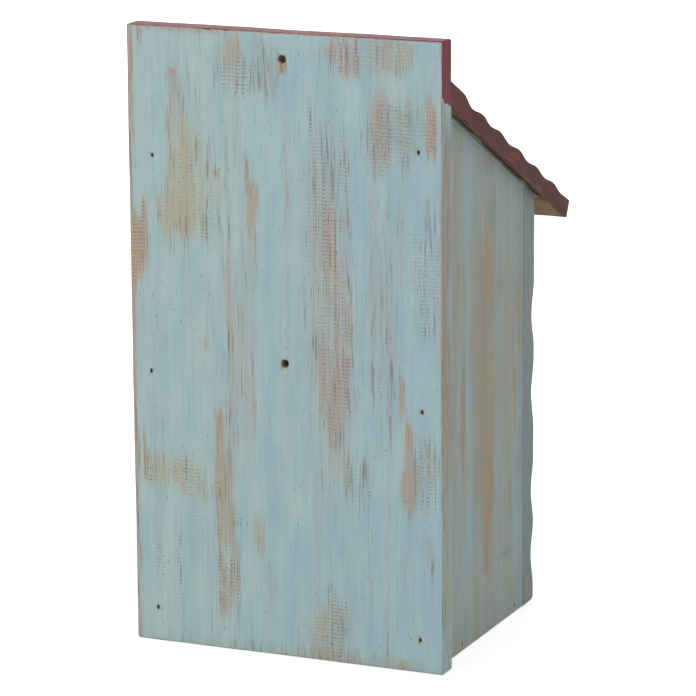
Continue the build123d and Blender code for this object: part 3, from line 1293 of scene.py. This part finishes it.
@dataclass
class FrontWall(Board):
    """The thick front board, carved into hollows from side to side, with the entrance."""

    end_round: float = 0.3 * MM
    toe: float = 3.0 * MM
    hollow_depth: float = 3.0 * MM
    hollow_radius: float = 30.0 * MM
    hollow_shares: tuple[float, ...] = (0.118, 0.279, 0.519, 0.715)
    hollow_spread: float = 1.35
    step: float = 1.6 * MM
    uneven: Pair = (0.5 * MM, 22 * MM)  # depth and size of the unevenness
    entrance_radius: float = 16.0 * MM
    nail_aside: float = 68.4 * MM
    nail_heights: tuple[float, ...] = (14.0 * MM, 82.0 * MM, 186.0 * MM)
    streaks: int = 34
    streaks_up: Pair = (0, 200)
    toe_patch: WornPatch = WornPatch(-43, 5, 8, 6, 0.35, Tone.TAN)

    def front_y(self, up: float, top: float) -> float:
        """Where the carved face is at a height.

        Args:
            up: the height.
            top: height of the face's top edge.

        Returns:
            The place along the depth.
        """
        reach = math.sqrt(2 * self.hollow_radius * self.hollow_depth - self.hollow_depth**2)
        deepest = 0.0
        for share in self.hollow_shares:
            off = abs(up - share * top) / reach
            if off < self.hollow_spread:
                dip = self.hollow_depth * (0.5 + 0.5 * math.cos(math.pi * off / self.hollow_spread))
                deepest = max(deepest, dip)
        return self.low.y + deepest

    def is_toe(self, edge: bmesh.types.BMEdge) -> bool:
        """Whether an edge lies along the front's foot."""
        spot = edge.verts[0].co
        return spot.z < self.toe and spot.y < self.high.y - self.toe

    def nails(self, roof: "Roof") -> list[Vector]:
        """Places of the nails on the carved face."""
        top = roof.under(self.low.y)
        return [
            Vector((side * self.nail_aside, self.front_y(up, top), up))
            for side in (-1, 1)
            for up in self.nail_heights
        ]

    def build(self, roof: "Roof", entrance: float) -> None:
        """Models the front.

        Args:
            roof: the roof that covers it.
            entrance: height of the middle of the entrance.
        """
        low, high = self.low, self.high
        top = roof.under(low.y)
        crown = roof.under(high.y) + self.step
        count = round(crown / self.step)
        ribs = []
        for part in range(count + 1):
            up = crown * part / count
            ribs.append(Rib((high.y, up), high.y - self.front_y(up, top)))
        trim = (Vector((0.0, high.y, roof.under(high.y))), roof.out)
        self.piece = carved_board("front_board", ribs, math.pi, (low.x, high.x), trim)
        round_edges(self.piece, self.toe, lambda edge: is_sharp(edge) and self.is_toe(edge))
        round_edges(self.piece, self.end_round, is_end_rim)
        self.lay_rows(self.step, (0,))
        roughen(self.piece, *self.uneven)
        drill = rod(72, self.entrance_radius, 4 * (high.y - low.y))
        cut_away(self.piece, copies(drill, [Vector((0, low.y, entrance))], aim(Side.BACK.way))[0])
        cut_away(self.piece, pit_cutter(self.nails(roof), Side.FRONT.way))

    def wear(self, entrance: float) -> WearMap:
        """Where the front is worn, and bare in the entrance and inside."""

        def bare(spots: np.ndarray, normals: np.ndarray) -> np.ndarray:
            """The face inside the box and the wall of the entrance, left as sawn."""
            reach = np.hypot(spots[:, 0], spots[:, 2] - entrance)
            inside = smooth_step(0.6, 0.9, normals[:, 1])
            return np.maximum(inside, smooth_step(0.9 * MM, 0.1 * MM, reach - self.entrance_radius))

        across = (self.low.x / MM, self.high.x / MM)
        front = chance_patches(self.seed, self.streaks, across, self.streaks_up)
        toe = (self.toe_patch,)
        return WearMap(SQUARE_FACES, {Side.FRONT: front, Side.LEFT: toe, Side.RIGHT: toe}, bare)


@dataclass
class FloorBoard(Board):
    """The floor, let in between the upright boards."""

    arris: float = 0.5 * MM
    step: float = 4.0 * MM

    def build(self) -> None:
        """Models the floor board."""
        self.piece = box_board("floor_board", self.low, self.high, self.arris)
        self.lay_rows(self.step, (0, 1))

    def wear(self) -> WearMap:
        """Bare wood all over."""
        return WearMap(SQUARE_FACES, {}, lambda spots, normals: np.ones(len(spots)))


@dataclass
class Roof(Board):
    """The sloping roof board, carved into rows that step down like shingles."""

    pitch: float = ROOF_PITCH
    seat: float = 267.8 * MM
    length: float = 170.1 * MM
    head: float = 11.2 * MM
    crest: float = 9.9 * MM
    lowest: float = 8.3 * MM
    eave: float = 8.8 * MM
    nose_lean: float = 0.90
    lap: float = 2.2 * MM
    row_ends: tuple[float, ...] = (0.070, 0.234, 0.376, 0.546, 0.698, 0.854)
    step: float = 1.5 * MM
    uneven: Pair = (0.5 * MM, 16 * MM)  # depth and size of the unevenness
    end_round: float = 0.4 * MM
    eave_round: float = 0.3 * MM
    nail_aside: float = 68.2 * MM
    nail_shares: tuple[float, ...] = (0.12, 0.41, 0.66)
    streaks: int = 22
    streaks_across: Pair = (-80, 80)
    streaks_up: Pair = (195, 280)
    lap_sway: float = 0.9 * MM
    scratch_share: float = 0.62
    scratch_rise: Pair = (2.6 * MM, 0.4 * MM)
    # Where painted shade darkens the underside: across, toward the front, toward the back, and how high
    # above the underside.
    painted_shade_across: Pair = (70 * MM, 76 * MM)
    painted_shade_front: Pair = (-62 * MM, -46 * MM)
    painted_shade_back: Pair = (68 * MM, 60 * MM)
    painted_shade_height: float = 0.6 * MM

    @property
    def slope(self) -> Vector:
        """The way down the roof."""
        return Vector((0.0, -math.cos(self.pitch), -math.sin(self.pitch)))

    @property
    def out(self) -> Vector:
        """The way out of the roof's top."""
        return Vector((0.0, -math.sin(self.pitch), math.cos(self.pitch)))

    @property
    def corner(self) -> Vector:
        """The middle of the underside's edge at the back panel."""
        return Vector((0.0, self.high.y, self.seat))

    def under(self, y: float) -> float:
        """Height of the underside at a place along the depth."""
        return self.seat - (self.high.y - y) * math.tan(self.pitch)

    def thickness(self, distance: float) -> float:
        """Thickness of the carved board, down the slope from the panel.

        Args:
            distance: distance down the slope, in metres.

        Returns:
            The thickness there.
        """
        ends = [share * self.length for share in self.row_ends] + [self.length]
        if distance <= ends[0]:
            return self.head
        row = max(index for index, end in enumerate(ends[:-1]) if end < distance)
        share = min((distance - ends[row]) / (ends[row + 1] - ends[row]), 1.0)
        turn = share**self.nose_lean
        first = self.head if row == 0 else self.crest
        last = self.eave if row == len(ends) - 2 else self.crest
        peak = first if turn < 0.5 else last
        return self.lowest + (peak - self.lowest) * (0.5 + 0.5 * math.cos(math.tau * turn))

    def at(self, distance: float, thickness: float) -> Point:
        """A point (y, z) of the side view, down the slope and out from the underside."""
        place = self.corner + self.slope * distance + self.out * thickness
        return (place.y, place.z)

    def nails(self) -> list[Vector]:
        """Places of the nails on the carved top."""
        places = []
        for side in (-1, 1):
            for share in self.nail_shares:
                distance = share * self.length
                spot = self.corner + self.slope * distance + self.out * self.thickness(distance)
                places.append(spot + Vector((side * self.nail_aside, 0, 0)))
        return places

    def build(self) -> None:
        """Models the roof."""
        count = round(self.length / self.step)
        ribs = []
        for part in range(-HEAD_RIBS, count + 1):
            distance = self.length * part / count
            ribs.append(Rib(self.at(distance, 0.0), self.thickness(distance)))
        trim = (self.corner, Side.BACK.way)
        turn = math.pi / 2 + self.pitch
        self.piece = carved_board("roof_board", ribs, turn, (self.low.x, self.high.x), trim)
        eave = self.low.y + self.head
        round_edges(self.piece, self.eave_round, lambda edge: is_sharp(edge) and edge.verts[0].co.y < eave)
        round_edges(self.piece, self.end_round, is_end_rim)
        self.lay_rows(self.step, (0,))
        roughen(self.piece, *self.uneven)
        cut_away(self.piece, pit_cutter(self.nails(), self.out))

    def wear(self, wall_face: float, wall_front: float) -> WearMap:
        """Worn streaks on top, bare wood below with painted shade beside the walls, and wall paint that the
        brush left beside the walls.

        Args:
            wall_face: half the width over the side walls.
            wall_front: where the walls end at the front.

        Returns:
            The map.
        """

        def below(normals: np.ndarray) -> np.ndarray:
            """How much of the underside's way each normal has."""
            return smooth_step(0.6, 0.9, -(normals @ np.array(self.out)))

        def height(spots: np.ndarray) -> np.ndarray:
            """How far each point is above the underside."""
            return (spots - np.array(self.corner)) @ np.array(self.out)

        def lapped(spots: np.ndarray, normals: np.ndarray) -> np.ndarray:
            """The strip that the wall's paint reaches."""
            beside = np.abs(spots[:, 0]) - wall_face
            reach = self.lap + self.lap_sway * ripple(spots[:, 1], 7 * MM, self.seed + 1)
            strip = smooth_step(0.5 * MM, -0.5 * MM, beside - reach) * (beside > -1.0 * MM)
            return below(normals) * strip * (spots[:, 1] > wall_front)

        def bare(spots: np.ndarray, normals: np.ndarray) -> np.ndarray:
            """The underside, left as sawn, and scratches along the lower edge of both ends."""
            edge = self.high.x - np.abs(spots[:, 0])
            run = 0.8 * MM * ripple(spots[:, 1], 6 * MM, self.seed)
            sawn = below(normals) * smooth_step(0.2 * MM, 1.6 * MM, edge + run)
            low = smooth_step(*self.scratch_rise, height(spots) + run) * (np.abs(normals[:, 0]) > 0.3)
            streaks = smooth_step(-0.2, 0.7, ripple(spots[:, 1], 17 * MM, self.seed + 2))
            scratch = self.scratch_share * low * streaks
            return np.maximum(sawn, scratch) * (1 - lapped(spots, normals))

        def painted_shade_beside_walls(spots: np.ndarray) -> np.ndarray:
            """Painted shade: darker wood on the underside beside the side walls, but not under the eave or
            at the panel.
            """
            beside = smooth_step(*self.painted_shade_across, np.abs(spots[:, 0])) * (height(spots) < self.painted_shade_height)
            middle = smooth_step(*self.painted_shade_front, spots[:, 1]) * smooth_step(*self.painted_shade_back, spots[:, 1])
            return beside * middle

        faces = (self.out, -self.out, self.slope, -self.slope, Side.RIGHT.way, Side.LEFT.way)
        top = chance_patches(self.seed, self.streaks, self.streaks_across, self.streaks_up)
        sides = {Side.UP: top, Side.LEFT: ROOF_EDGE_WEAR, Side.RIGHT: ROOF_EDGE_WEAR}
        return WearMap(faces, sides, bare, lapped, painted_shade_beside_walls)


@dataclass
class PaintBead:
    """Paint that gathered in the corner between one side wall and the roof."""

    name: str
    seed: int
    radius: float = 0.5 * MM
    step: float = 1.2 * MM
    uneven: Pair = (1.0 * MM, 4.5 * MM)  # depth and size of the unevenness

    def build(self, wall: SideWall, roof: Roof) -> bpy.types.Object:
        """Models the bead as a thin uneven rod along the corner.

        Args:
            wall: the side wall.
            roof: the roof on it.

        Returns:
            The bead.
        """
        ends = (wall.high.y, wall.low.y)
        start, end = (Vector((wall.face, y, roof.under(y) - self.radius / 2)) for y in ends)
        run = end - start
        piece = rod(8, self.radius, run.length)
        piece.name = piece.data.name = self.name
        divide(piece, 2, round(run.length / self.step), run.length / 2)
        piece.matrix_world = Matrix.Translation((start + end) / 2) @ aim(run).to_4x4()
        settle(piece)
        roughen(piece, *self.uneven)
        return piece

    def dress(self, wall: SideWall, roof: Roof, finish: WornPaint) -> None:
        """Builds the bead, gives it the wall's paint and sets it on the body."""
        piece = self.build(wall, roof)
        give_material(piece, finish.material())
        make_active(piece)
        bpy.ops.object.shade_smooth()
        WearMap(SQUARE_FACES).paint(piece, finish.woods, self.seed)
        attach(piece, "root")
        LOG.info("%s: %d faces", piece.name, len(piece.data.polygons))


PIT_WIDTH = 1.5 * MM
PIT_HEIGHT = 2.3 * MM
PIT_DEPTH = 1.6 * MM
HEAD_RADIUS = 0.72 * MM
HEAD_THICKNESS = 0.5 * MM
HEAD_ROUND = 0.15 * MM
HEAD_SIDES = 14


def pit_cutter(places: Sequence[Vector], out: Vector) -> bpy.types.Object:
    """Punches that sink the nails of one face, a little taller than wide.

    Args:
        places: where the nails are, on the face.
        out: the way that the face looks.

    Returns:
        The punches, joined.
    """
    punch = rod(HEAD_SIDES, 0.5, 1.0)
    punch.scale = (PIT_WIDTH, PIT_HEIGHT, 2 * PIT_DEPTH)
    settle(punch)
    return join(copies(punch, places, aim(out)), "punches")


@dataclass
class Nails:
    """The small nails of one board, sunk under its face."""

    name: str
    places: Sequence[Vector]
    out: Vector

    def build(self) -> bpy.types.Object:
        """Models the heads and sets each at the bottom of its pit."""
        head = rod(HEAD_SIDES, HEAD_RADIUS, HEAD_THICKNESS)
        edit(head)
        pick(head, Part.EDGE, lambda edge: all(vert.co.z > 0 for vert in edge.verts))
        bpy.ops.mesh.bevel(offset=HEAD_ROUND, segments=2, affect="EDGES")
        leave_edit()
        sunk = self.out * (PIT_DEPTH - HEAD_THICKNESS / 2)
        heads = copies(head, [place - sunk for place in self.places], aim(self.out))
        return join(heads, self.name)

    def dress(self, finish: bpy.types.Material) -> None:
        """Builds the nails, gives them their steel and sets them on the body."""
        piece = self.build()
        give_material(piece, finish)
        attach(piece, "root")
        LOG.info("%s: %d nails", self.name, len(self.places))


@dataclass
class Studio:
    """A pale floor, soft lamps, a white surround and the camera of the photograph."""

    back: float
    camera_place: Triple = (-0.751885, 1.644766, 0.572081)
    azimuth: float = math.radians(203.626)
    elevation: float = math.radians(13.114)
    roll: float = math.radians(-0.399)
    focal_pixels: float = 3961.4
    frame_pixels: float = 696.0
    sensor: float = 36.0
    floor_size: float = 14.0
    floor_drop: float = 0.4 * MM
    floor_grey: float = 0.8
    floor_glow: float = 0.62
    surround_light: float = 0.55
    aim_height: float = 0.15

    def camera(self) -> None:
        """Sets the camera where the photographer stood."""
        data = bpy.data.cameras.new("photo_camera")
        data.sensor_width = self.sensor
        data.lens = self.focal_pixels / self.frame_pixels * self.sensor
        data.clip_start = 0.05
        data.clip_end = 50.0
        camera = bpy.data.objects.new("photo_camera", data)
        bpy.context.scene.collection.objects.link(camera)
        flat = math.cos(self.elevation)
        across, behind = math.sin(self.azimuth) * flat, -math.cos(self.azimuth) * flat
        back = Vector((across, behind, math.sin(self.elevation)))
        right = Vector((0, 0, 1)).cross(back).normalized()
        up = back.cross(right)
        turned = math.cos(self.roll) * right + math.sin(self.roll) * up
        upright = math.cos(self.roll) * up - math.sin(self.roll) * right
        turn = Matrix((turned, upright, back)).transposed()
        x, y, z = self.camera_place
        camera.matrix_world = Matrix.Translation((x, y + self.back, z)) @ turn.to_4x4()
        bpy.context.scene.camera = camera

    def floor(self) -> None:
        """Lays the floor, white to the eye but for the shadow on it."""
        clear_selection()
        bpy.ops.mesh.primitive_plane_add(size=self.floor_size, location=(0.0, 0.0, -self.floor_drop))
        floor = bpy.context.object
        floor.name = "studio_floor"
        graph = Graph(bpy.data.materials.new("studio_white"))
        matte = graph.node("ShaderNodeBsdfDiffuse")
        graph.put(matte.inputs["Color"], (self.floor_grey,) * 3)
        glow = graph.node("ShaderNodeEmission")
        seen = graph.rays("Camera", "Glossy")
        graph.put(glow.inputs["Strength"], graph.times(seen, self.floor_glow))
        both = graph.node("ShaderNodeAddShader")
        graph.put(both.inputs[0], matte.outputs[0])
        graph.put(both.inputs[1], glow.outputs[0])
        give_material(floor, graph.finish(both))

    def world(self) -> None:
        """Makes the surround: white to the eye, soft grey as a light."""
        graph = Graph(bpy.data.worlds.new("surround"))
        background = graph.node("ShaderNodeBackground")
        graph.put(background.inputs["Color"], (1.0, 1.0, 1.0))
        seen = graph.rays("Camera", "Glossy", "Transmission")
        graph.put(background.inputs["Strength"], graph.rise(seen, 0.0, 1.0, self.surround_light, 1.0))
        bpy.context.scene.world = graph.finish(background)

    def lamp(self, name: str, place: Vector, size: float, power: float) -> None:
        """Hangs one soft square lamp that looks at the box.

        Args:
            name: name of the lamp.
            place: where it hangs, in metres.
            size: length of its side, in metres.
            power: its power, in watts.
        """
        data = bpy.data.lights.new(name, "AREA")
        data.shape = "SQUARE"
        data.size = size
        data.energy = power
        lamp = bpy.data.objects.new(name, data)
        bpy.context.scene.collection.objects.link(lamp)
        look = Vector((0.0, 0.0, self.aim_height)) - place
        lamp.matrix_world = Matrix.Translation(place) @ look.to_track_quat("-Z", "Y").to_matrix().to_4x4()

    def light(self) -> None:
        """Hangs the lamps: a broad key behind the box, a weak fill at its left and one for its front."""
        self.lamp("key_lamp", Vector((1.1, 1.9, 1.5)), 1.6, 30.0)
        self.lamp("fill_lamp", Vector((-1.9, 0.9, 1.0)), 1.4, 6.5)
        self.lamp("front_lamp", Vector((1.0, -2.0, 1.2)), 1.4, 16.0)


PINE = (
    linear(144, 153, 152),
    linear(166, 161, 138),
    linear(162, 150, 131),
    linear(164, 141, 113),
    linear(160, 143, 133),
    linear(168, 132, 115),
)
STAINED_PINE = (*PINE[:3], linear(180, 143, 101), *PINE[4:])
ROOF_PINE = (
    # The dark first tone is also the painted shade on the underside beside the walls.
    linear(68, 57, 49),
    linear(128, 98, 76),
    linear(154, 129, 97),
    linear(118, 56, 50),
    linear(136, 64, 53),
    linear(146, 86, 68),
)
WINE = linear(125, 64, 71)
LILAC = linear(152, 167, 175)

BLUE = WornPaint(
    "worn_blue_paint",
    coat=linear(147, 178, 185),
    coat_shift=linear(162, 183, 181),
    brush_tint=LILAC,
    over_coat=WINE,
    woods=PINE,
    base_wear=0.12,
)
WALL_BLUE = WornPaint(
    "stained_blue_paint",
    coat=linear(152, 182, 189),
    coat_shift=linear(158, 179, 178),
    brush_tint=LILAC,
    over_coat=WINE,
    woods=STAINED_PINE,
    base_wear=0.48,
    edge_wear=(0.0, 0.4),
    grain_scale=0.6,
    streak_share=0.46,
    brush_share=0.12,
    fibre_share=0.20,
    thread_share=0.12,
    hair_share=0.2,
)
FRONT_BLUE = WornPaint(
    "front_blue_paint",
    coat=linear(119, 145, 149),
    coat_shift=linear(124, 143, 144),
    brush_tint=linear(121, 137, 143),
    over_coat=WINE,
    woods=PINE,
    base_wear=0.38,
    edge_wear=(0.0, 0.4),
)
RED = WornPaint(
    "worn_red_paint",
    coat=linear(80, 47, 45),
    coat_shift=linear(118, 56, 61),
    brush_tint=linear(92, 55, 57),
    over_coat=linear(134, 142, 137),
    woods=ROOF_PINE,
    base_wear=0.0,
    edge_wear=(0.12, 0.6),
    lean=math.pi / 2 - ROOF_PITCH,
    hair_colour=linear(64, 48, 46),
    tear_wood_and_shade_colour=linear(164, 120, 94),
    # Painted highlight on the lip below each torn pit in the red paint.
    lip_highlight_colour=linear(120, 74, 64),
)


def main() -> None:
    """Builds the boards, the beads of paint, the nails and the studio, in that order."""
    logging.basicConfig(level=logging.INFO, format="%(name)s %(message)s")
    panel = BackPanel("back_panel", "blue_paint", 11)
    left = SideWall("left_wall", "blue_paint", 211, out=Side.LEFT)
    right = SideWall("right_wall", "blue_paint", 311, out=Side.RIGHT)
    front = FrontWall("front_wall", "blue_paint", 411)
    floor = FloorBoard("floor", "bare_wood", 511)
    roof = Roof("roof", "red_paint", 611)
    back = panel.high.y
    entrance = min(panel.hole_heights)

    panel.build()
    panel.dress(BLUE, panel.wear())
    for wall in (left, right):
        wall.build(roof, back)
        wall.dress(WALL_BLUE, wall.wear())
    front.build(roof, entrance)
    front.dress(FRONT_BLUE, front.wear(entrance))
    floor.build()
    floor.dress(BLUE, floor.wear())
    roof.build()
    roof.dress(RED, roof.wear(right.high.x, front.low.y))

    PaintBead("left_paint_bead", 711).dress(left, roof, BLUE)
    PaintBead("right_paint_bead", 811).dress(right, roof, BLUE)
    steel = NailSteel().make()
    Nails("back_nails", panel.nails(), Side.BACK.way).dress(steel)
    Nails("left_nails", left.nails(back), Side.LEFT.way).dress(steel)
    Nails("right_nails", right.nails(back), Side.RIGHT.way).dress(steel)
    Nails("front_nails", front.nails(roof), Side.FRONT.way).dress(steel)
    Nails("roof_nails", roof.nails(), roof.out).dress(steel)

    studio = Studio(back)
    studio.floor()
    studio.world()
    studio.light()
    studio.camera()
    bpy.context.scene.view_settings.view_transform = "Standard"


if __name__ == "__main__":
    main()
